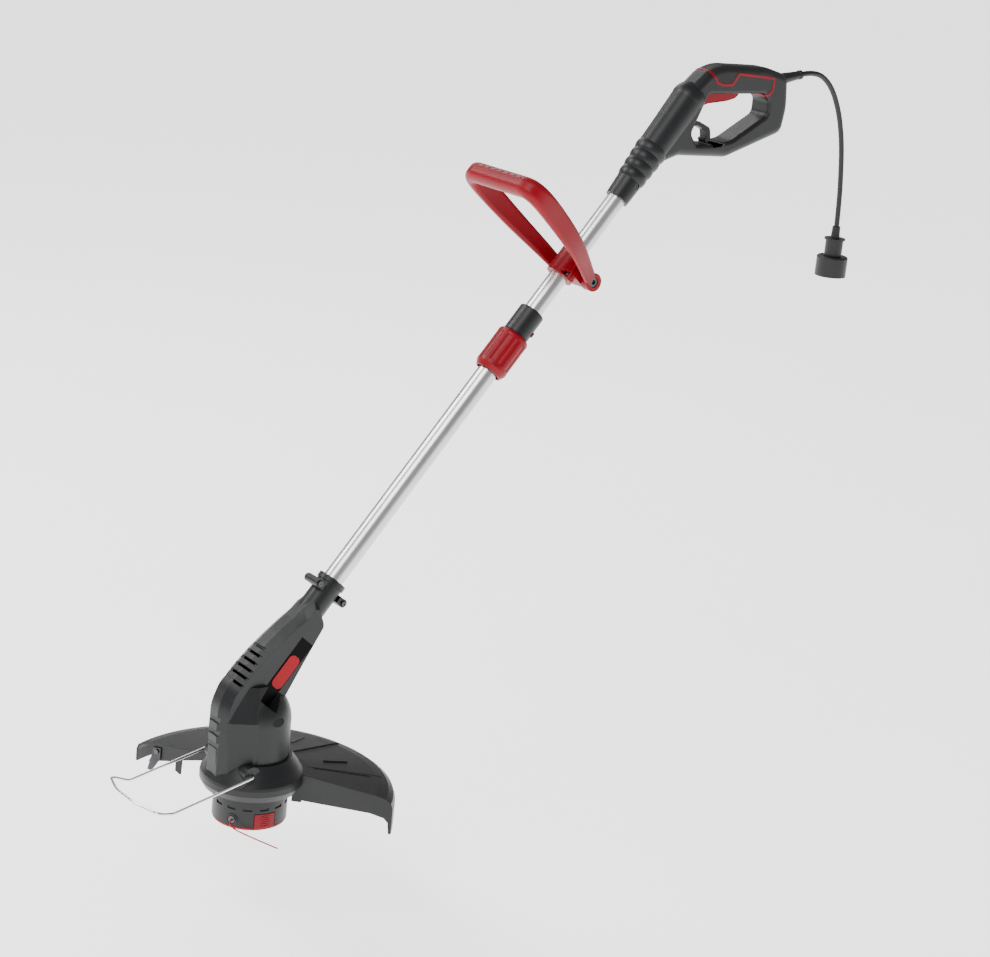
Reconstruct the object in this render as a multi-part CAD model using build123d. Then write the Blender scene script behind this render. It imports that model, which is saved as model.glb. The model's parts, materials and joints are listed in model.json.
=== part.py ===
from build123d import *
import math
import os

# Corded string trimmer. Lengths in millimetres, angles in degrees.
# The shapes are laid out from the foot of the head's spindle: X back towards the operator,
# Y to the operator's right, Z up the spindle. save() moves the origin to the rear grip.

os.makedirs("parts", exist_ok=True)

# ---------------------------------------------------------------- driving dimensions
SHAFT_TILT = 49.5            # shaft above the ground while trimming
SHAFT_CROSS = 171.4          # height at which the shaft's axis meets the spindle
GRIP_X, GRIP_Z = 648.0, 873.0    # middle of the rear grip

LOWER_OD, LOWER_ID = 25.4, 23.8
UPPER_OD, UPPER_ID = 23.6, 22.0
LOWER_START, LOWER_END = 52.0, 488.0     # stations along the shaft
UPPER_START, UPPER_END = 300.0, 792.0
RUN = 0.06                   # radial running clearance

COLLAR_START, COLLAR_END, COLLAR_R = 459.0, 515.5, 20.6
SLEEVE_END, SLEEVE_R = 552.0, 16.5

HANDLE_LIP = 729.0
WALL = 2.8
GRIP_HALF_WIDTH = 17.0

ASSIST_S, ASSIST_N = 625.0, 25.0         # pivot bolt of the front handle
ASSIST_REACH = 182.0                     # pivot to the middle of the hand bar

DRUM_R, DRUM_TOP = 44.5, 36.0
CAP_FOOT = -3.6
MOTOR_R = 42.0
HUB_R = 62.0
GUARD_R = 172.0
GUARD_FROM, GUARD_TO = -46.0, 112.0      # sweep of the guard about the spindle
GUIDE_X, GUIDE_Z, GUIDE_Y = -29.0, 72.5, 50.0    # pivot and arm spacing of the wire guide
GUIDE_WIRE = 3.4
LABEL_S, LABEL_N = 25.0, 9.5             # middle of the side labels
INDEX_S, INDEX_TURN = 528.0, -40.0       # the button looks down and to the operator's left
EYELET_BEARING, EYELET_Z = -149.6, 9.5
LATCH_BEARING = -98.0
CORD_D = 7.0
LINE_D = 1.65

# Side-view corners of the lead's route, from the strain relief's end to the plug's boot.
RELIEF_START = (727, 871.5)
LEAD_ROUTE = [(764, 877.5), (790, 881.7), (820, 865.5), (842, 831), (855.5, 790), (862.5, 746),
              (866.8, 706), (868, 676)]
PLUG_TOP = LEAD_ROUTE[-1]

# ---------------------------------------------------------------- placing helpers
TILT = math.radians(SHAFT_TILT)
ALONG = Vector(math.cos(TILT), 0, math.sin(TILT))
BELOW = Vector(math.sin(TILT), 0, -math.cos(TILT))
SHAFT = Plane(origin=(0, 0, SHAFT_CROSS), x_dir=BELOW, z_dir=ALONG).location
SIDE = Plane.XZ


def save(node, *solids):
    """Write one node, moved so that the rear grip is the origin."""
    shape = solids[0] if len(solids) == 1 else Compound(children=list(solids))
    export_step(Pos(-GRIP_X, 0, -GRIP_Z) * shape, f"parts/{node}.step")


def on_side(s, n):
    """Side-view (x, z) of a point s along the shaft and n below its axis."""
    return (s * ALONG.X + n * BELOW.X, SHAFT_CROSS + s * ALONG.Z + n * BELOW.Z)


def outline(points, radii):
    return make_face(FilletPolyline(*points, radius=radii, close=True).edges())


def slab(face, half_width, middle=0.0):
    """A side-view face given thickness along Y."""
    return Pos(0, middle, 0) * extrude(SIDE * face, half_width, both=True)


def rod(radius, start, end):
    """A rod along the shaft."""
    return SHAFT * Pos(0, 0, start) * Cylinder(
        radius, end - start, align=(Align.CENTER, Align.CENTER, Align.MIN))


def tube(outer, inner, start, end):
    return rod(outer, start, end) - rod(inner, start - 1, end + 1)


def post(radius, bottom, top, x=0.0, y=0.0):
    """An upright round post."""
    return Pos(x, y, bottom) * Cylinder(
        radius, top - bottom, align=(Align.CENTER, Align.CENTER, Align.MIN))


def ring(outer, inner, bottom, top):
    return post(outer, bottom, top) - post(inner, bottom - 1, top + 1)


def cross_pin(radius, x, z, y_from, y_to):
    """A round pin along Y."""
    return Pos(x, (y_from + y_to) / 2, z) * Rot(90, 0, 0) * Cylinder(radius, abs(y_to - y_from))


def half(shape, side):
    """The left (-Y) or right (+Y) half of a body split at the middle."""
    keep = Pos(400, side * 250, 500) * Box(1400, 500, 1400)
    return shape & keep


def turned(points):
    """A solid turned about the spindle from (radius, height) corners."""
    return revolve(SIDE * make_face(Polyline(*points, close=True).edges()), Axis.Z, 360)


def screw(x, z, side, head_y, length, shank=1.6, head=3.2):
    """A cross screw along Y, with its head on the given side."""
    body = cross_pin(shank, x, z, head_y - side * length, head_y)
    cap = cross_pin(head, x, z, head_y, head_y + side * 2.2)
    slot = Pos(x, head_y + side * 2.2, z) * Box(head * 1.3, 1.6, 0.8)
    cross = Pos(x, head_y + side * 2.2, z) * Box(0.8, 1.6, head * 1.3)
    return body + cap - slot - cross


# ---------------------------------------------------------------- rear handle
RING_OUTER = [(520, 790), (552, 845), (566, 862.5), (590, 883), (612, 891.5), (690, 888.5),
              (728, 878.5), (733, 838), (728, 806), (636, 775.5), (556, 779.3), (530, 771)]
RING_OUTER_R = [2, 30, 20, 20, 60, 70, 16, 60, 15, 30, 12, 2]
RING_INNER = [(571, 807), (593.5, 855.5), (688, 855.5), (697, 846), (697, 828),
              (641, 797), (612, 792.5), (582, 792.5)]
RING_INNER_R = [8, 5, 7, 7, 9, 30, 20, 5]
GRIP_ROUND = 9.5             # rounding of the loop's outer edges
RIBS_FROM, RIBS_TO, RIB_COUNT = 757.0, 809.0, 4
BARREL_LEAN = -1.5           # the barrel leans forward of the tube by this much


def barrel(inset):
    """The round body behind the tube, with four swelling rings."""
    pitch = (RIBS_TO - RIBS_FROM) / RIB_COUNT
    grooves = [(16.3 + 0.85 * i - inset, RIBS_FROM + pitch * i) for i in range(RIB_COUNT + 1)]
    edges = [Line((0, HANDLE_LIP), (15.0 - inset, HANDLE_LIP)),
             Line((15.0 - inset, HANDLE_LIP), grooves[0])]
    for low, high in zip(grooves, grooves[1:]):
        crest = ((low[0] + high[0]) / 2 + 1.5, (low[1] + high[1]) / 2)
        edges.append(ThreePointArc(low, crest, high))
    edges.append(Polyline(grooves[-1], (20.1 - inset, 845), (21.0 - inset, 882)))
    edges.append(ThreePointArc((21.0 - inset, 882), (16.5 - inset, 900), (6.0, 907 - inset)))
    edges.append(Polyline((6.0, 907 - inset), (0, 907 - inset), (0, HANDLE_LIP)))
    profile = make_face([edge for item in edges for edge in item.edges()])
    solid = revolve(SIDE * profile, Axis.Z, 360)
    lean = Pos(0, 0, HANDLE_LIP) * Rot(0, BARREL_LEAN, 0) * Pos(0, 0, -HANDLE_LIP)
    return SHAFT * lean * solid


def grip_ring(inset):
    """The closed loop of grip, rear post and lower bar."""
    outer = outline(RING_OUTER, RING_OUTER_R)
    inner = outline(RING_INNER, RING_INNER_R)
    if inset:
        outer = offset(outer, amount=-inset)
        inner = offset(inner, amount=inset)
    body = slab(outer, GRIP_HALF_WIDTH - inset)
    rim = body.faces().sort_by(Axis.Y)[0].edges() + body.faces().sort_by(Axis.Y)[-1].edges()
    body = fillet(rim, GRIP_ROUND - inset)
    body -= slab(inner, GRIP_HALF_WIDTH + 5)
    rim = [edge for face in (body.faces().sort_by(Axis.Y)[0], body.faces().sort_by(Axis.Y)[-1])
           for wire in face.inner_wires() for edge in wire.edges()]
    return fillet(rim, 4.6 - inset)


def handle_solid(inset=0.0):
    opening = slab(outline(RING_INNER, RING_INNER_R), 40)
    return barrel(inset) + grip_ring(inset) - (opening if not inset else offset_opening(inset))


def offset_opening(inset):
    return slab(offset(outline(RING_INNER, RING_INNER_R), amount=inset), 40)


TRIGGER = [(588, 862), (587, 838.5), (600, 842.5), (632, 845.5), (645, 848.5), (651, 853), (651, 862)]
TRIGGER_R = [2, 3, 10, 30, 6, 1, 2]
TRIGGER_PIVOT = (594.0, 858.4)
TUBE_SCREW = (491, 743)
HANDLE_SCREWS = [(566, 797), (588, 876), (708, 866), (712, 812), (650, 787)]
SLOT_X, SLOT_Z = 619.0, 794.0


def relief_seat():
    """Where the strain relief leaves the handle: Z points out along the lead."""
    start = Vector(RELIEF_START[0], 0, RELIEF_START[1])
    end = Vector(LEAD_ROUTE[0][0], 0, LEAD_ROUTE[0][1])
    return Plane(origin=start, z_dir=end - start).location


def rear_handle():
    outer = handle_solid()
    hollow = handle_solid(WALL) - rod(30, 700, 797)
    bosses = Compound(children=[cross_pin(4.6, x, z, -30, 30) for x, z in HANDLE_SCREWS])
    hollow -= bosses
    trigger_slot = slab(Polygon((585.5, 834), (585.5, 863), (653.5, 863), (653.5, 834),
                                align=None), 7.6)
    shell = outer - hollow - rod(UPPER_OD / 2 + 0.02, 700, UPPER_END + 0.5) - trigger_slot
    layer = outer - handle_solid(1.3)
    soft_area = slab(Polygon((578, 905), (585, 893), (604, 869.5), (614.5, 867), (629, 867),
                             (639, 880.5), (681, 877), (700.5, 874.5), (712, 905), align=None), 30)
    soft = layer & soft_area
    ridges = [slab(Pos(x, 894.5) * Rot(0, 0, 4 - 0.2 * i) * Rectangle(3.0, 8.5), 7.5)
              for i, x in enumerate(range(620, 681, 12))]
    soft = soft - Compound(children=ridges)
    path = FilletPolyline((579, 900.5), (585, 893), (604, 869.5), (614.5, 867), (629, 867),
                          (639, 880.5), (681, 877), (700.5, 874.5), (700, 859.5), (693, 853.5),
                          (682, 851), radius=2.2)
    band_area = slab(trace(path, 3.2), 30)
    raised = handle_solid(-0.35)
    band = (raised - handle_solid(0.9)) & band_area
    shell = shell - soft_area.intersect(layer) - band_area.intersect(layer)
    soft = soft - band_area
    slot = slab(Pos(SLOT_X, SLOT_Z) * Rot(0, 0, 8) * SlotOverall(21, 10), 30)
    shell -= slot
    shell -= relief_seat() * Pos(0, 0, -6) * Cylinder(10.5, 6.4)
    shell -= relief_seat() * Cylinder(6.2, 30)
    shell -= relief_seat() * Cylinder(7.8, 20, align=(Align.CENTER, Align.CENTER, Align.MIN))
    shell -= cross_pin(2.86, TRIGGER_PIVOT[0], TRIGGER_PIVOT[1], -9.3, 9.3)
    shell -= cross_pin(1.7, *TUBE_SCREW, -17, 14) + cross_pin(3.4, *TUBE_SCREW, -40, -12)
    for x, z in HANDLE_SCREWS:
        shell -= cross_pin(1.7, x, z, -12, 17)
        shell -= cross_pin(3.4, x, z, 10, 40)
    for name, side in (("left", -1), ("right", 1)):
        save(f"handle_shell_{name}", half(shell, side))
        save(f"grip_trim_{name}", half(band, side))
    save("soft_grip", soft)
    save("handle_screws", screw(*TUBE_SCREW, -1, -12.1, 25),
         *[screw(x, z, 1, 10.1, 20) for x, z in HANDLE_SCREWS])


def handle_inside():
    """Trigger, switch, cord hook and the fixed tube."""
    paddle = slab(outline(TRIGGER, TRIGGER_R), 7.0)
    arm = slab(Polygon((590, 860), (590, 866), (604, 864), (640, 864), (640, 860), align=None), 5.0)
    pivot = cross_pin(2.8, TRIGGER_PIVOT[0], TRIGGER_PIVOT[1], -9, 9)
    ridges = Compound(children=[slab(Pos(x, 843.2 + 0.09 * (x - 600)) * Rectangle(1.2, 3.2), 8)
                                for x in range(604, 644, 4)])
    save("trigger", paddle + arm + pivot - ridges)
    coil = Helix(pitch=1.95, height=7.8, radius=2.2, center=(0, 0, 0))
    wire = sweep(Plane(origin=coil @ 0, z_dir=coil % 0) * Circle(0.35), path=coil)
    save("trigger_spring", Pos(634, 0, 864.45) * wire)
    save("switch_body", Pos(612, 0, 876.8) * Box(24, 14, 13.6)
         + Pos(630, 0, 878.2) * Box(16, 12, 10.8) + Pos(606, 0, 869.2) * Cylinder(2.2, 2.0))
    save("capacitor", Pos(652, 0, 877) * Rot(0, 90, 0) * Cylinder(5.5, 20))
    hook_path = FilletPolyline((570, 816), (588, 818.5), (607, 810.5), (609.5, 798.1), (604, 795.5),
                               radius=[4, 5, 4])
    band = slab(trace(hook_path, 5.4), 7.0)
    save("cord_hook", band - slab(Polygon((560, 800), (560, 830), (581.7, 830), (567.8, 800),
                                          align=None), 20))
    save("upper_tube", tube(UPPER_OD / 2, UPPER_ID / 2, UPPER_START, UPPER_END)
         - cross_pin(1.7, *TUBE_SCREW, -20, 20))


# ---------------------------------------------------------------- mains lead and plug
def corner_radii(points):
    """The largest arcs that the runs on each side of every corner leave room for."""
    radii = []
    for before, here, after in zip(points, points[1:], points[2:]):
        a = Vector(here) - Vector(before)
        b = Vector(after) - Vector(here)
        turn = math.radians(a.get_angle(b))
        radii.append(0.45 * min(a.length, b.length) / math.tan(turn / 2))
    return radii


def round_lead(name, points, diameter):
    radii = corner_radii(points)
    path = FilletPolyline(*points, radius=radii)
    solid = sweep(Plane(origin=path @ 0, z_dir=path % 0) * Circle(diameter / 2), path=path.wire())
    ideal = math.pi * diameter ** 2 / 4 * path.length
    print(name, "length", round(path.length, 1), "radii", [round(r) for r in radii],
          "volume ratio", round(solid.volume / ideal, 4))
    return solid


def mains_lead():
    points = [Vector(x, 0, z) for x, z in LEAD_ROUTE]
    save("mains_cord", round_lead("mains_cord", points, CORD_D))
    start = Vector(RELIEF_START[0], 0, RELIEF_START[1])
    lean = points[0] - start
    seat = Plane(origin=start, z_dir=lean).location
    body = seat * Cone(7.6, 4.9, lean.length - 0.1, align=(
        Align.CENTER, Align.CENTER, Align.MIN))
    bead = Cylinder(6.0, 6.0)
    body += seat * Pos(0, 0, lean.length - 3.1) * chamfer(bead.edges().filter_by(GeomType.CIRCLE), 0.9)
    flange = seat * Pos(0, 0, -4) * Cylinder(9.0, 2.4)
    neck = seat * Pos(0, 0, -2.0) * Cylinder(6.0, 5.0)
    save("strain_relief", body + flange + neck)
    x, z = PLUG_TOP
    boot = Pos(x, 0, z - 16) * Cone(6.2, 5.2, 15.8, align=(Align.CENTER, Align.CENTER, Align.MIN))
    collar = post(14.0, z - 18.2, z - 16, x)
    core = post(11.8, z - 40, z - 18.2, x)
    save("plug_body", boot + collar + core)
    shroud = post(20.8, z - 67, z - 40, x) - post(18.4, z - 68, z - 44, x)
    shroud = fillet(shroud.edges().filter_by(GeomType.CIRCLE).group_by(Axis.Z)[-1], 2.5)
    save("plug_shroud", shroud + post(11.0, z - 50, z - 44, x))
    blades = [Pos(x + dx, dy, z - 58) * Box(1.5, 6.3, 16.0) for dx, dy in ((-6.35, 0), (6.35, 0))]
    save("plug_blades", *blades)


# ---------------------------------------------------------------- front handle and clamp
def section_at(s, n, y, size_s, size_n, turn=0.0):
    """A rounded section of the loop: size_s along the shaft, size_n across the bar."""
    place = SHAFT * Pos(n, y, s) * Rot(0, 0, turn) * Rot(90, 0, 0)
    return place * RectangleRounded(size_n, size_s, min(size_s, size_n) / 2 - 0.6)


def assist_loop():
    """The D-shaped loop: hand bar, two bowed arms and the pivot ears."""
    grip_n = ASSIST_N - ASSIST_REACH
    bar = loft([section_at(632, grip_n, y, 25, 23) for y in (-46, 46)])
    shape = bar
    for side in (-1, 1):
        stations = [(632, grip_n, 46, 25, 23, 0), (632, grip_n + 6, 57, 26, 19, 45),
                    (632, -118, 60.5, 27, 12, 84), (631, -70, 55, 25, 11.5, 77),
                    (629, -22, 42.5, 21, 10.5, 73), (626.5, 8, 32, 18, 9.5, 70),
                    (625, ASSIST_N, 26.5, 16, 9, 74)]
        faces = [section_at(s, n, side * y, size_s, size_n, -side * turn)
                 for s, n, y, size_s, size_n, turn in stations]
        shape += loft(faces)
        x, z = on_side(ASSIST_S, ASSIST_N)
        ear = cross_pin(11.5, x, z, side * 19.6, side * 31)
        shape += ear
    x, z = on_side(ASSIST_S, ASSIST_N)
    shape -= cross_pin(3.3, x, z, -60, 60)
    shape -= cross_pin(6.4, x, z, -60, -25.5)
    shape -= cross_pin(6.4, x, z, 25.5, 60)
    return shape


def assist_parts():
    loop = assist_loop()
    grooves = Compound(children=[
        SHAFT * Pos(ASSIST_N - ASSIST_REACH - 12.0, y, 641) * Box(4.0, 4.4, 9.0)
        for y in range(-42, 49, 12)])
    save("assist_handle", loop - grooves)
    x, z = on_side(ASSIST_S, ASSIST_N)
    bore = UPPER_OD / 2 + 0.08
    band = tube(17.6, bore, ASSIST_S - 18, ASSIST_S + 18)
    lug = cross_pin(10.2, x, z, -19.2, 19.2) + SHAFT * Pos(14.5, 0, ASSIST_S) * Box(20, 38.4, 20.4)
    lug -= rod(bore, ASSIST_S - 40, ASSIST_S + 40)
    lug -= cross_pin(3.3, x, z, -60, 60)
    whole = band + lug
    ears = SHAFT * Pos(0, 0, ASSIST_S) * Box(9.0, 37.6, 34) - rod(
        bore, ASSIST_S - 40, ASSIST_S + 40)
    whole = whole + ears
    holes = Compound(children=[
        SHAFT * Pos(0, side * 15.2, ASSIST_S + ds) * Rot(0, 90, 0) * Cylinder(1.6, 60)
        for side in (-1, 1) for ds in (-13.5, 13.5)])
    lower = whole & (SHAFT * Pos(50.4, 0, ASSIST_S) * Box(100, 100, 100))
    upper = whole & (SHAFT * Pos(-50.4, 0, ASSIST_S) * Box(100, 100, 100))
    pockets = Compound(children=[
        SHAFT * Pos(-14.5, side * 15.2, ASSIST_S + ds) * Rot(0, 90, 0) * Cylinder(3.2, 20)
        for side in (-1, 1) for ds in (-13.5, 13.5)])
    save("clamp_saddle", upper - holes - pockets)
    save("clamp_base", lower - holes)
    bolts = [SHAFT * Pos(0, side * 15.2, ASSIST_S + ds) * Rot(0, 90, 0) * (
        Cylinder(1.5, 9) + Pos(0, 0, -5.5) * Cylinder(2.9, 2.0))
        for side in (-1, 1) for ds in (-13.5, 13.5)]
    save("clamp_screws", *bolts)
    head = cross_pin(5.9, x, z, -30.0, -25.7) - cross_pin(2.9, x, z, -31, -27.5)
    save("pivot_bolt", cross_pin(3.2, x, z, -25.7, 27.0) + head)
    nut = Pos(x, 28.6, z) * Rot(90, 0, 0) * extrude(RegularPolygon(5.8, 6), 3.0, both=True)
    save("pivot_nut", nut - cross_pin(3.2, x, z, 20, 40))


# ---------------------------------------------------------------- telescopic coupling
def coupling():
    inner = UPPER_OD / 2 + 0.1
    body = rod(SLEEVE_R, COLLAR_END + 0.6, SLEEVE_END)
    body = chamfer(body.edges().filter_by(GeomType.CIRCLE).group_by(Axis.Z)[-1], 1.2)
    body += rod(15.6, 462, COLLAR_END + 0.6)
    body -= rod(inner, 440, 600)
    body -= rod(LOWER_OD / 2 + RUN, 440, LOWER_END + 1.0)
    body -= rod(14.2, LOWER_END + 3, COLLAR_END - 2)
    body -= index_place() * Pos(0, 0, -0.6) * Cylinder(3.7, 6.2)
    save("coupler_sleeve", body)
    collet = tube(14.1, inner + 0.02, LOWER_END + 3.4, COLLAR_END - 2.4)
    collet -= SHAFT * Rot(0, 0, 15) * Pos(14, 0, 500) * Box(8, 1.6, 80)
    save("collet", collet)
    save("lock_collar", lock_collar())
    button = Cylinder(3.5, 3.6) + Pos(0, 0, 1.6) * Cylinder(2.9, 1.8)
    save("index_button", index_place() * Pos(0, 0, 1.6) * button)
    save("button_spring", index_place() * Pos(0, 0, -1.9) * (Cylinder(3.2, 1.0) - Cylinder(2.3, 2)))


def index_place():
    """The button's seat: Z points straight out of the sleeve."""
    return SHAFT * Pos(0, 0, INDEX_S) * Rot(0, 0, INDEX_TURN) * Pos(14.3, 0, 0) * Rot(0, 90, 0)


def lock_collar():
    """Twist collar: domed top, ribbed waist and a flared foot with a scalloped edge."""
    profile = make_face((
        Polyline((15.7, COLLAR_START), (17.2, COLLAR_START), (COLLAR_R, COLLAR_START + 6.5),
                 (COLLAR_R, COLLAR_END - 6)).edges()
        + ThreePointArc((COLLAR_R, COLLAR_END - 6), (19.4, COLLAR_END - 1.6),
                        (16.9, COLLAR_END)).edges()
        + Polyline((16.9, COLLAR_END), (15.7, COLLAR_END), (15.7, COLLAR_START)).edges()))
    body = SHAFT * revolve(SIDE * profile, Axis.Z, 360)
    for i in range(10):
        hollow = Pos(COLLAR_R + 8.2, 0, (COLLAR_START + COLLAR_END) / 2 + 2) * Cylinder(9.4, 38)
        body -= SHAFT * Rot(0, 0, 36 * i) * hollow
    body += tube(16.9, 15.7, COLLAR_START, COLLAR_END - 0.5)
    return body


# ---------------------------------------------------------------- motor head
SPINE = [on_side(118, -12), on_side(96, -17), on_side(80, -20), on_side(55, -26),
         on_side(28, -30.5), on_side(0, -35), (-48, 173), (-58, 150), (-59, 120), (-57, 74),
         (20, 74), (28, 148), on_side(52, 26), on_side(100, 20)]
FLANK = [on_side(108, -8), on_side(88, -10), on_side(72, -15), on_side(48, -20.5),
         on_side(24, -25), on_side(-3, -28), (-42, 166), (-50, 147), (-51, 120), (-49, 74),
         (18, 74), (24, 150), on_side(52, 23), on_side(96, 16)]
SPINE_R = [4, 20, 8, 60, 60, 40, 30, 40, 60, 0, 0, 14, 60, 10]
SPINE_HALF, FLANK_HALF = 8.5, 19.8
NECK_SCREWS = [on_side(131, -22.5), on_side(131, 24)]
BODY_SCREWS = [on_side(40, -18.5), (-37, 142)]


def head_body(inset=0.0):
    """Neck, deep-bodied arm with a raised spine, and the upright motor barrel."""
    spine = outline(SPINE, SPINE_R)
    flank = outline(FLANK, SPINE_R)
    if inset:
        spine = offset(spine, amount=-inset)
        flank = offset(flank, amount=-inset)
    body = slab(spine, SPINE_HALF - inset / 3)
    for side in (-1, 1):
        body += loft([Pos(0, side * (SPINE_HALF - inset / 3), 0) * (SIDE * spine),
                      Pos(0, side * (FLANK_HALF - inset), 0) * (SIDE * flank)], ruled=True)
    wide = MOTOR_R - inset
    profile = (Polyline((0, 168 - inset), (0, 60), (wide, 60), (wide, 122)).edges()
               + ThreePointArc((wide, 122), (36 - inset, 147 - inset), (18, 165 - inset)).edges()
               + ThreePointArc((18, 165 - inset), (9.5, 167.5 - inset), (0, 168 - inset)).edges())
    body += revolve(SIDE * make_face(profile), Axis.Z, 360)
    nose = outline([(-57, 10.5), (-49, 21.5), (-24, 36.5), (0, 38), (0, -38), (-24, -36.5),
                    (-49, -21.5), (-57, -10.5)], [3, 4, 10, 0, 0, 10, 4, 3])
    crown = outline([(-34, 8), (-30, 17), (-14, 25), (4, 25), (4, -25), (-14, -25), (-30, -17),
                     (-34, -8)], [3, 4, 10, 0, 0, 10, 4, 3])
    if inset:
        nose = offset(nose, amount=-inset)
        crown = offset(crown, amount=-inset)
    body += Pos(0, 0, 60) * extrude(nose, 72 - inset)
    body += loft([Pos(0, 0, 131.9 - inset) * nose, Pos(0, 0, 172 - inset) * crown], ruled=True)
    return body


def motor_head():
    outer = head_body() + rod(16.6, 60, 139.5) + rod(18.2, 139.4, 146)
    hollow = head_body(2.8) & (Pos(0, 0, 600) * Box(400, 400, 1200) - rod(60, 62, 400))
    for x, z in NECK_SCREWS:
        outer += cross_pin(5.2, x, z, -13, 13)
    for s, n in ((131, -17.5), (131, 19)):
        outer += SHAFT * Pos(n, 0, s) * Box(8, 26, 9)
    hollow -= Compound(children=[cross_pin(4.4, x, z, -30, 30) for x, z in BODY_SCREWS])
    for side in (-1, 1):
        seat = SHAFT * Pos(LABEL_N, side * (FLANK_HALF + 10), LABEL_S)
        outer -= seat * Box(23, 20, 91)
        hollow -= seat * Pos(0, -side * WALL, 0) * Box(28, 20, 96)
        outer -= Rot(0, 0, -7 * side) * Pos(0, side * 40.2, 131) * Rot(side * 20, 0, 0) * Pos(
            0, side * 6, 0) * Rot(90, 0, 0) * extrude(SlotOverall(17, 10), 6, both=True)
    shell = outer - hollow - rod(LOWER_OD / 2 + 0.02, 40, 160) - rod(LOWER_OD / 2 - 2, 30, 60)
    shell -= post(60, 40, 62.4)
    for i in range(6):
        vent = SHAFT * Pos(-32, 0, -19.5 + 10 * i) * Box(9.0, 60, 3.4)
        shell -= vent
    for i in range(3):
        shell -= Pos(-61, 0, 101 + 16 * i) * Rot(0, 8, 0) * Box(9, 60, 7)
    for x, z in NECK_SCREWS:
        shell -= cross_pin(1.7, x, z, -17, 10)
    for x, z in BODY_SCREWS:
        shell -= cross_pin(1.7, x, z, -10, 17)
        shell -= cross_pin(3.4, x, z, 10, 40)
    for name, side in (("left", -1), ("right", 1)):
        save(f"motor_housing_{name}", half(shell, side))
    save("housing_screws", *[screw(x, z, -1, -13.1, 21) for x, z in NECK_SCREWS],
         *[screw(x, z, 1, 10.1, 18) for x, z in BODY_SCREWS])
    labels, badges = [], []
    for side in (-1, 1):
        labels.append(SHAFT * Pos(LABEL_N, side * 20.05, LABEL_S) * Box(20, 0.5, 88))
        pill = extrude(RectangleRounded(17, 44, 6.5), 0.35, both=True)
        badges.append(SHAFT * Pos(LABEL_N, side * 20.65, LABEL_S) * Rot(90, 0, 0) * pill)
    save("side_labels", *labels)
    save("blank_badges", *badges)



def motor_parts():
    shaft_r = 4.0
    bracket = ring(38.9, 11.0, 62.6, 66.6) + ring(14, 11.0, 62.6, 71.5)
    save("motor_bracket", bracket)
    save("lower_bearing", ring(11.0, shaft_r, 64.0, 71.0))
    save("upper_bearing", ring(9.5, shaft_r, 150.0, 156.0))
    save("bearing_carrier", ring(16.4, 9.5, 149.0, 156.5))
    core = ring(33.0, 21.6, 92, 128)
    core -= Compound(children=[Pos(side * 21, 0, 110) * Box(12, 16, 40) for side in (-1, 1)])
    save("stator_core", core)
    coils = ring(30.0, 22.4, 85.6, 91.8) + ring(30.0, 22.4, 128.2, 134)
    save("field_coils", *[(coils & (Pos(0, side * 30, 110) * Box(80, 44, 60)))
                          for side in (-1, 1)])
    save("motor_shaft", post(shaft_r - 0.04, 34, 161))
    armature = ring(20.9, shaft_r - 0.02, 93, 127)
    armature -= Compound(children=[Rot(0, 0, 30 * i) * Pos(20, 0, 110) * Box(6, 2.2, 40)
                                   for i in range(12)])
    save("armature_core", armature)
    save("armature_windings", ring(17.0, 6.0, 86.5, 92.9), ring(17.0, 6.0, 127.1, 133.5))
    commutator = ring(12.0, shaft_r - 0.02, 136, 147)
    commutator -= Compound(children=[Rot(0, 0, 30 * i) * Pos(12, 0, 142) * Box(2, 0.6, 14)
                                     for i in range(12)])
    save("commutator", commutator)
    save("brush_holders", *[Pos(side * 19.3, 0, 141.5) * Box(13.6, 8, 7) for side in (-1, 1)])
    fan = ring(34.0, shaft_r - 0.02, 75.0, 77.0) + ring(8.0, shaft_r - 0.02, 75.0, 84.0)
    for i in range(9):
        fan += Rot(0, 0, 40 * i) * Pos(21, 0, 80.5) * Rot(0, 0, 20) * Box(24, 1.4, 7)
    save("cooling_fan", fan)


# ---------------------------------------------------------------- guard, cutter and wire guide
GUARD_SLOPE = 8.5


def sector(points, start, end):
    """A (radius, height) outline swept about the spindle between two bearings."""
    face = SIDE * make_face(Polyline(*points, close=True).edges())
    return Rot(0, 0, start) * revolve(face, Axis.Z, end - start)


def end_plate(points, bearing, thick):
    """A flat wall standing on a radius of the guard."""
    plate = extrude(SIDE * make_face(Polyline(*points, close=True).edges()), thick / 2, both=True)
    return Rot(0, 0, bearing) * plate


def on_guard(shape, radius, bearing, height):
    return Rot(0, 0, bearing) * Pos(radius, 0, height) * Rot(0, GUARD_SLOPE, 0) * shape


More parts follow.
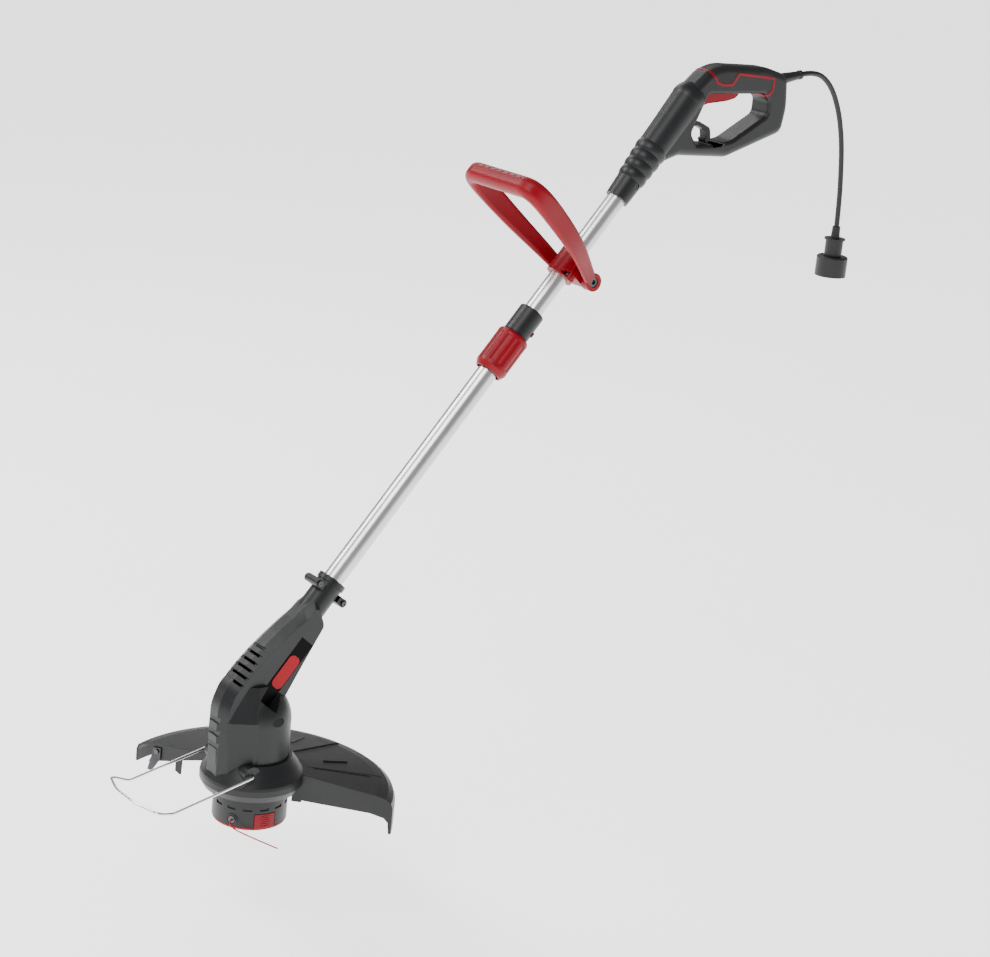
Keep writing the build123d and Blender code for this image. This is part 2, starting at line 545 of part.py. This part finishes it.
def guard():
    skin = [(50, 61.7), (60, 60.2), (150, 46.8), (163, 43.6), (169.6, 38.8), (GUARD_R, 32),
            (GUARD_R, 17), (169.4, 17), (169.4, 31.5), (167.6, 36.8), (162, 40.8), (149.4, 43.9),
            (60, 57.3), (50, 58.8)]
    body = sector(skin, GUARD_FROM, GUARD_TO)
    raised = [(66, 59), (66, 60.6), (150, 48.2), (158, 46.3), (158, 43.6), (149, 45.5)]
    body += sector(raised, 15, 64)
    body += sector([(r, z - 1.0) for r, z in raised], -24, -3)
    tip = ring(GUARD_R, 169.4, 0, 18) & (Rot(0, 0, GUARD_FROM) * extrude(
        Plane.YZ * Polygon((0, 0), (5.5, 0), (22, 11), (60, 18), (0, 18), align=None), 200))
    body += tip
    body += end_plate([(50, 60), (60, 59.6), (150, 46), (162, 42.5), (170, 36), (GUARD_R - 0.2, 30),
                       (GUARD_R - 0.2, 0), (168.6, 0), (167, 14), (162, 19), (145, 23),
                       (62, 26.5), (60, 24), (50, 24)], GUARD_FROM + 0.5, 2.6)
    body += Rot(0, 0, GUARD_FROM + 5) * Pos(56, 0, 41) * Box(11, 11, 34)
    body += end_plate([(60, 58), (150, 45.5), (157, 43), (145, 35.5), (153, 21), (139, 25.5),
                       (112, 33), (112, 21), (104, 18), (103, 37), (60, 50)], GUARD_TO - 0.5, 2.4)
    corner = Polygon((171 * math.cos(math.radians(101)), 171 * math.sin(math.radians(101))),
                     (152 * math.cos(math.radians(114)), 152 * math.sin(math.radians(114))),
                     (230 * math.cos(math.radians(114)), 230 * math.sin(math.radians(114))),
                     (230 * math.cos(math.radians(101)), 230 * math.sin(math.radians(101))),
                     align=None)
    body -= extrude(corner, 80)
    hub = [(42.3, 80), (46, 80), (55.5, 67), (61.2, 58.5), (HUB_R, 55), (HUB_R, 48), (57, 39.5),
           (54.2, 39.5), (59, 48.6), (59, 54), (53.5, 62), (47.5, 66), (42.3, 66)]
    body += turned(hub)
    body += ring(59.2, 30.0, 56.6, 59.8)
    for side in (-1, 1):
        body += cross_pin(10.5, GUIDE_X, GUIDE_Z, side * 45.2, side * 28)
    body -= head_body()
    for side in (-1, 1):
        body -= cross_pin(GUIDE_WIRE / 2 + RUN, GUIDE_X, GUIDE_Z, side * 36, side * 60)
    body -= on_guard(Box(70, 5.0, 1.6), 108, -26.5, 53.2)
    for radius, bearing in ((116, 29), (108, -10)):
        body += on_guard(Box(32, 2.6, 2.4), radius, bearing, 59.6 - 0.149 * (radius - 66) + 0.6)
    screw_spots = [(36, 90), (36, 210), (36, 330)]
    for radius, bearing in screw_spots:
        body -= Rot(0, 0, bearing) * post(1.7, 40, 70, radius)
    save("guard", body)
    save("guard_screws", *[Rot(0, 0, bearing) * (post(1.6, 56.4, 62.4, radius)
                                                + post(3.4, 54.2, 56.5, radius))
                           for radius, bearing in screw_spots])


def line_cutter():
    blade = end_plate([(134, 44), (146, 42.5), (146, 36), (152.5, 12), (146, 11), (134, 30)],
                      GUARD_TO + 0.65, 1.0)
    hole = Rot(0, 0, GUARD_TO + 0.65) * cross_pin(1.7, 139.5, 38.5, -5, 5)
    save("line_cutter", blade - hole)
    rivet = cross_pin(1.6, 139.5, 38.5, -0.5, 0.6) + cross_pin(3.0, 139.5, 38.5, 0.55, 2.2)
    save("cutter_screw", Rot(0, 0, GUARD_TO + 0.65) * rivet)


GUIDE_ROUTE = [(GUIDE_X, 37.5, GUIDE_Z), (GUIDE_X, GUIDE_Y, GUIDE_Z), (-137, 50.5, 48.4),
               (-158, 57.5, 55), (-170, 22, 56.5), (-170, -22, 56.5), (-158, -57.5, 55),
               (-137, -50.5, 48.4), (GUIDE_X, -GUIDE_Y, GUIDE_Z), (GUIDE_X, -37.5, GUIDE_Z)]
GUIDE_BENDS = [4.5, 16, 9, 60, 60, 9, 16, 4.5]


def wire_guide():
    path = FilletPolyline(*GUIDE_ROUTE, radius=GUIDE_BENDS)
    wire = sweep(Plane(origin=path @ 0, z_dir=path % 0) * Circle(GUIDE_WIRE / 2), path=path.wire())
    save("edge_guide", wire)


# ---------------------------------------------------------------- spool head
def window(bearing, inner, outer, width, bottom, top):
    """A block across the drum's wall at one bearing."""
    block = Pos((inner + outer) / 2, 0, (bottom + top) / 2) * Box(
        outer - inner, width, top - bottom)
    return Rot(0, 0, bearing) * block


def spool_head():
    drum = turned([(9.5, 28), (9.5, 33.4), (DRUM_R - 2.6, 33.4), (DRUM_R - 2.6, 1.8),
                   (DRUM_R, 1.8), (DRUM_R, DRUM_TOP - 2), (DRUM_R - 2, DRUM_TOP), (13, DRUM_TOP),
                   (9.0, 52), (3.96, 52), (3.96, 28)])
    for bearing in (LATCH_BEARING, LATCH_BEARING + 180):
        drum -= window(bearing, 38, 50, 27, 0, 19.2)
    for i in range(14):
        drum -= window(LATCH_BEARING - 2 + 360 / 14 * i, 43.0, 50, 11.0, 22.6, 26.4)
    place = Rot(0, 0, EYELET_BEARING) * Pos(DRUM_R, 0, EYELET_Z) * Rot(0, 90, 0)
    drum += place * Pos(0, 0, -0.6) * (Cylinder(7.2, 2.6) - Pos(10, 0, 0) * Box(7, 20, 20))
    drum -= place * Pos(0, 0, 1.2) * Cylinder(5.2, 2.4)
    drum -= place * Cylinder(3.0, 12)
    save("spool_drum", drum - post(60, -5, 1.8))
    save("line_eyelet", place * Pos(0, 0, -1.0) * (
        Cylinder(3.0, 4.4) + Pos(0, 0, 1.6) * Cylinder(4.4, 1.0) - Cylinder(1.3, 12)))
    cap = turned([(0, CAP_FOOT), (36, CAP_FOOT), (41.0, CAP_FOOT + 0.5), (43.6, -1.6),
                  (DRUM_R, 0.6), (DRUM_R, 1.4), (0, 1.4)])
    for bearing in (LATCH_BEARING, LATCH_BEARING + 180):
        tab = ring(DRUM_R + 0.1, DRUM_R - 2.4, 0.6, 18.4) & window(bearing, 30, 60, 25.6, 0, 18.4)
        for i in range(6):
            tab -= Rot(0, 0, bearing) * Pos(DRUM_R + 0.4, 0, 4.5 + 2.4 * i) * Box(1.6, 20, 1.1)
        cap += tab
    save("spool_cap", cap)
    spool = ring(36.0, 9.6, 2.0, 3.4) + ring(36.0, 9.6, 25.4, 27.0) + ring(15.0, 9.6, 2.0, 27.0)
    save("line_spool", spool)
    turns = [ring(33.0 - 0.5 * (i % 2), 15.05, 3.6 + 1.8 * i, 5.4 + 1.8 * i) for i in range(12)]
    save("wound_line", turns[0].fuse(*turns[1:]))
    coil = Helix(pitch=2.2, height=5.0, radius=12.0, center=(0, 0, 0))
    wire = sweep(Plane(origin=coil @ 0, z_dir=coil % 0) * Circle(0.55), path=coil)
    save("spool_spring", Pos(0, 0, 27.7) * wire)


LINE_ROUTE = [(-36.5, -21.4, 9.5), (-46, -27, 8.7), (-44.5, -36.5, 4.5), (-33, -43.5, -2.0),
              (-18, -53, -9.5), (-1, -67, -17)]


def cutting_line():
    save("cutting_line", round_lead("cutting_line", [Vector(p) for p in LINE_ROUTE], LINE_D))


def lower_tube():
    save("lower_tube", tube(LOWER_OD / 2, LOWER_ID / 2, LOWER_START, LOWER_END))
    save("coiled_lead", rod(8.0, 70, 285))


rear_handle()
handle_inside()
mains_lead()
assist_parts()
coupling()
motor_head()
motor_parts()
guard()
line_cutter()
wire_guide()
spool_head()
cutting_line()
lower_tube()
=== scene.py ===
"""Corded string trimmer: camera, free cords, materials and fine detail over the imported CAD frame."""
import json
import math

import bmesh
import bpy
from mathutils import Matrix, Vector


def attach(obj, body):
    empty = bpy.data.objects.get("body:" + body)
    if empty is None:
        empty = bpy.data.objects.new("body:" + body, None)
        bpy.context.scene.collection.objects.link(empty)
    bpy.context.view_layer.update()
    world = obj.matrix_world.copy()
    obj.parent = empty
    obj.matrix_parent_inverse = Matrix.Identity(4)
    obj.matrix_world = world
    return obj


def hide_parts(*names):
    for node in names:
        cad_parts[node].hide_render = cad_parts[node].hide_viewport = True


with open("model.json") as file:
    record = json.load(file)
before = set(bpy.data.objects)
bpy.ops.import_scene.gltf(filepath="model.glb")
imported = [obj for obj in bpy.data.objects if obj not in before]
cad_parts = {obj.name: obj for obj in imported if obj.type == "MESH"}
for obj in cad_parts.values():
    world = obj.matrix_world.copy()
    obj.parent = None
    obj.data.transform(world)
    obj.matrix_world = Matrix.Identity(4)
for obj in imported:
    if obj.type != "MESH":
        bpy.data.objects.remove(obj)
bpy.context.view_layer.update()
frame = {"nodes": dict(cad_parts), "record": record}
nodes = frame["nodes"]

SHAFT_TILT = math.radians(49.5)          # the shaft's slope above the ground
CORD_RADIUS = 0.0035
LINE_RADIUS = 0.000825
FLOOR_HEIGHT = -1.016                    # clear of the head with the shaft drawn out and the cap off
FLOOR_HALF_SIZE = 40.0


# ---------------------------------------------------------------- camera
RIGHT = Vector((0.78820, -0.60810, 0.09464))
UP = Vector((0.10402, 0.28320, 0.95340))
FORWARD = Vector((0.60656, 0.74163, -0.28648))
EYE = (-2.0854, -2.1560, 0.3423)         # ahead of the head, to its left, a little above the grip
camera_data = bpy.data.cameras.new("camera")
camera_data.lens = 86.04
camera_data.sensor_width = 36.0
camera_data.clip_start = 0.1
camera_data.clip_end = 200.0
camera = bpy.data.objects.new("camera", camera_data)
bpy.context.scene.collection.objects.link(camera)
turn = Matrix((RIGHT, UP, -FORWARD)).transposed().to_4x4()
camera.matrix_world = Matrix.Translation(EYE) @ turn
bpy.context.scene.camera = camera


# ---------------------------------------------------------------- node materials
class Shader:
    """A small helper that builds one node material."""

    def __init__(self, name):
        self.material = bpy.data.materials.new(name)
        self.material.use_nodes = True
        self.tree = self.material.node_tree
        self.surface = self.tree.nodes["Principled BSDF"]
        self.coords = self.tree.nodes.new("ShaderNodeTexCoord").outputs["Object"]

    def link(self, source, target):
        self.tree.links.new(source, target)

    def noise(self, scale, detail=4.0, roughness=0.6, coords=None):
        node = self.tree.nodes.new("ShaderNodeTexNoise")
        node.inputs["Scale"].default_value = scale
        node.inputs["Detail"].default_value = detail
        node.inputs["Roughness"].default_value = roughness
        self.link(coords or self.coords, node.inputs["Vector"])
        return node.outputs["Fac"]

    def stretch(self, scale, turn_y=0.0):
        node = self.tree.nodes.new("ShaderNodeMapping")
        node.inputs["Scale"].default_value = scale
        node.inputs["Rotation"].default_value = (0, turn_y, 0)
        self.link(self.coords, node.inputs["Vector"])
        return node.outputs["Vector"]

    def ramp(self, factor, low, high, low_at=0.3, high_at=0.7):
        node = self.tree.nodes.new("ShaderNodeValToRGB")
        ends = node.color_ramp.elements
        ends[0].position, ends[0].color = low_at, (*low, 1)
        ends[1].position, ends[1].color = high_at, (*high, 1)
        self.link(factor, node.inputs["Fac"])
        return node.outputs["Color"]

    def spread(self, factor, low, high):
        node = self.tree.nodes.new("ShaderNodeMapRange")
        node.inputs["To Min"].default_value = low
        node.inputs["To Max"].default_value = high
        self.link(factor, node.inputs["Value"])
        return node.outputs["Result"]

    def relief(self, height, strength, distance, edge=0.0):
        """Bump on the surface, over edges rounded by the bevel radius."""
        node = self.tree.nodes.new("ShaderNodeBump")
        node.inputs["Strength"].default_value = strength
        node.inputs["Distance"].default_value = distance
        self.link(height, node.inputs["Height"])
        if edge:
            bevel = self.tree.nodes.new("ShaderNodeBevel")
            bevel.samples = 6
            bevel.inputs["Radius"].default_value = edge
            self.link(bevel.outputs["Normal"], node.inputs["Normal"])
        self.link(node.outputs["Normal"], self.surface.inputs["Normal"])

    def set(self, socket, value):
        self.surface.inputs[socket].default_value = value


def plastic(name, low, high, rough, grain=0.05, edge=0.0006, specular=0.5):
    """Moulded plastic: faint flow marks, a fine spark-eroded grain and softened edges."""
    s = Shader(name)
    flow = s.noise(16, 3, 0.55)
    s.link(s.ramp(flow, low, high), s.surface.inputs["Base Color"])
    s.link(s.spread(s.noise(90, 5, 0.65), *rough), s.surface.inputs["Roughness"])
    s.relief(s.noise(2600, 2, 0.5), grain, 0.00012, edge)
    s.set("Specular IOR Level", specular)
    return s.material


def metal(name, low, high, rough, lines=(900, 900, 6), turn_y=0.0, strength=0.05, edge=0.0003):
    """Drawn or ground metal: fine lines along one direction."""
    s = Shader(name)
    drawn = s.noise(1.0, 4, 0.6, s.stretch(lines, turn_y))
    cloud = s.noise(30, 3, 0.5)
    s.link(s.ramp(cloud, low, high), s.surface.inputs["Base Color"])
    s.link(s.spread(drawn, *rough), s.surface.inputs["Roughness"])
    s.relief(drawn, strength, 0.00005, edge)
    s.set("Metallic", 1.0)
    return s.material


def rubber(name, low, high, rough=(0.5, 0.62), grain=0.16):
    """Soft rubber: a duller, coarser surface than the moulded plastic."""
    s = Shader(name)
    s.link(s.ramp(s.noise(40, 4, 0.6), low, high), s.surface.inputs["Base Color"])
    s.link(s.spread(s.noise(160, 4, 0.6), *rough), s.surface.inputs["Roughness"])
    s.relief(s.noise(1800, 3, 0.55), grain, 0.00015, 0.0004)
    s.set("Specular IOR Level", 0.35)
    return s.material


def windings(name, low, high):
    """Enamelled wire wound in a ring."""
    s = Shader(name)
    bands = s.tree.nodes.new("ShaderNodeTexWave")
    bands.bands_direction = "Z"
    bands.inputs["Scale"].default_value = 420
    bands.inputs["Distortion"].default_value = 1.5
    s.link(s.coords, bands.inputs["Vector"])
    s.link(s.ramp(bands.outputs["Fac"], low, high, 0.2, 0.8), s.surface.inputs["Base Color"])
    s.link(s.spread(bands.outputs["Fac"], 0.25, 0.4), s.surface.inputs["Roughness"])
    s.relief(bands.outputs["Fac"], 0.6, 0.0004)
    s.set("Metallic", 0.8)
    return s.material


charcoal = plastic("charcoal_plastic", (0.0075, 0.008, 0.0088), (0.0115, 0.012, 0.013),
                   rough=(0.36, 0.46), specular=0.33)
red = plastic("red_plastic", (0.185, 0.0003, 0.0055), (0.23, 0.0005, 0.0075), rough=(0.33, 0.43),
              grain=0.04, specular=0.22)
black = plastic("black_plastic", (0.003, 0.003, 0.0035), (0.005, 0.005, 0.0055), rough=(0.42, 0.52),
                specular=0.35)
soft = rubber("soft_rubber", (0.007, 0.007, 0.0078), (0.0115, 0.0115, 0.0125))
jacket = rubber("cord_rubber", (0.006, 0.006, 0.0068), (0.010, 0.010, 0.011), rough=(0.36, 0.48),
                grain=0.10)
tube_metal = metal("tube_metal", (0.56, 0.555, 0.55), (0.64, 0.635, 0.63), (0.24, 0.34),
                   lines=(1500, 1500, 14), turn_y=SHAFT_TILT - math.pi / 2, edge=0.0)
wire_chrome = metal("wire_chrome", (0.78, 0.78, 0.79), (0.9, 0.9, 0.9), (0.08, 0.16), edge=0.0)
screw_steel = metal("screw_steel", (0.05, 0.05, 0.055), (0.12, 0.12, 0.125), (0.28, 0.42))
spring_steel = metal("spring_steel", (0.35, 0.35, 0.36), (0.5, 0.5, 0.5), (0.25, 0.38), edge=0.0)
bearing_steel = metal("bearing_steel", (0.55, 0.55, 0.57), (0.7, 0.7, 0.7), (0.14, 0.24))
lamination = metal("lamination_steel", (0.16, 0.16, 0.17), (0.3, 0.3, 0.31), (0.4, 0.6),
                   lines=(20, 20, 2600), strength=0.5)
copper = windings("winding_copper", (0.20, 0.06, 0.02), (0.62, 0.24, 0.09))
brass = metal("blade_brass", (0.62, 0.47, 0.22), (0.75, 0.6, 0.32), (0.2, 0.34))
cutter_steel = metal("cutter_steel", (0.035, 0.035, 0.038), (0.07, 0.07, 0.075), (0.26, 0.4),
                     lines=(8, 8, 1500))
label_film = plastic("label_film", (0.0006, 0.0006, 0.0008), (0.0012, 0.0012, 0.0015),
                     rough=(0.55, 0.65), grain=0.02, edge=0.0002, specular=0.08)
badge = plastic("badge_red", (0.27, 0.0006, 0.006), (0.31, 0.001, 0.008), rough=(0.3, 0.38),
                grain=0.02, edge=0.0003, specular=0.15)
nylon = plastic("line_nylon", (0.34, 0.002, 0.003), (0.42, 0.004, 0.004), rough=(0.2, 0.3),
                grain=0.05, edge=0.0, specular=0.3)

FINISHES = {
    "charcoal_plastic": charcoal, "red_plastic": red, "soft_rubber": soft,
    "black_plastic": black, "tube_metal": tube_metal, "screw_steel": screw_steel,
    "wire_chrome": wire_chrome, "spring_steel": spring_steel, "bearing_steel": bearing_steel,
    "lamination_steel": lamination, "winding_copper": copper, "blade_brass": brass,
    "cutter_steel": cutter_steel, "label_film": label_film, "badge_red": badge,
    "cord_rubber": jacket, "line_nylon": nylon,
}


def paint(obj, material):
    obj.data.materials.clear()
    obj.data.materials.append(material)


for entry in frame["record"]["subparts"]:
    paint(nodes[entry["node"]], FINISHES[entry["material_slot"]])


# ---------------------------------------------------------------- free cords
def free_cord(name, points, radius, material, node, body):
    curve = bpy.data.curves.new(name, "CURVE")
    curve.dimensions = "3D"
    curve.bevel_depth = radius
    curve.bevel_resolution = 8
    curve.resolution_u = 24
    curve.use_fill_caps = True
    spline = curve.splines.new("NURBS")
    spline.points.add(len(points) - 1)
    for point, place in zip(spline.points, points):
        point.co = (*place, 1.0)
    spline.order_u = 3
    spline.use_endpoint_u = True
    obj = bpy.data.objects.new(name, curve)
    bpy.context.scene.collection.objects.link(obj)
    curve.materials.append(material)
    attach(obj, body)
    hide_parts(node)
    return obj


LEAD = [(0.1160, 0, 0.0045), (0.1420, 0, 0.0087), (0.1720, 0, -0.0075), (0.1940, 0, -0.0420),
        (0.2075, 0, -0.0830), (0.2145, 0, -0.1270), (0.2188, 0, -0.1670), (0.2200, 0, -0.1970)]
lead = free_cord("mains_lead", LEAD, CORD_RADIUS, jacket, "mains_cord", "handle")

LINE = [(-0.6845, -0.0214, -0.8635), (-0.6940, -0.0270, -0.8643), (-0.6925, -0.0365, -0.8685),
        (-0.6810, -0.0435, -0.8750), (-0.6660, -0.0530, -0.8825), (-0.6490, -0.0670, -0.8900)]
line = free_cord("line_tail", LINE, LINE_RADIUS, nylon, "cutting_line", "spool_head")


# ---------------------------------------------------------------- studio
def area_light(name, place, target, power, width, height):
    data = bpy.data.lights.new(name, "AREA")
    data.shape = "RECTANGLE"
    data.size, data.size_y = width, height
    data.energy = power
    light = bpy.data.objects.new(name, data)
    light.location = place
    light.rotation_mode = "QUATERNION"
    light.rotation_quaternion = (Vector(target) - Vector(place)).to_track_quat("-Z", "Y")
    bpy.context.scene.collection.objects.link(light)


middle = (-0.25, 0.0, -0.45)
area_light("key", (-2.6, -1.2, 2.4), middle, 80, 2.0, 1.5)
area_light("side", (-2.2, 2.2, 2.0), middle, 90, 1.6, 1.6)
area_light("back", (0.6, 2.8, 1.8), middle, 30, 1.6, 1.6)

world = bpy.data.worlds.new("studio")
world.use_nodes = True
world.node_tree.nodes["Background"].inputs["Color"].default_value = (1.0, 1.0, 1.0, 1)
world.node_tree.nodes["Background"].inputs["Strength"].default_value = 0.4
bpy.context.scene.world = world

floor_mesh = bpy.data.meshes.new("floor")
b = bmesh.new()
corners = [b.verts.new((x * FLOOR_HALF_SIZE, y * FLOOR_HALF_SIZE, FLOOR_HEIGHT))
           for x, y in ((-1, -1), (1, -1), (1, 1), (-1, 1))]
b.faces.new(corners)
b.to_mesh(floor_mesh)
b.free()
floor = bpy.data.objects.new("floor", floor_mesh)
bpy.context.scene.collection.objects.link(floor)
pale = Shader("floor_pale")
pale.link(pale.ramp(pale.noise(3, 2, 0.5), (0.90, 0.90, 0.90), (0.93, 0.93, 0.93)),
          pale.surface.inputs["Base Color"])
pale.set("Roughness", 0.8)
pale.set("Emission Color", (1.0, 1.0, 1.0, 1.0))
pale.set("Emission Strength", 1.9)
floor_mesh.materials.append(pale.material)
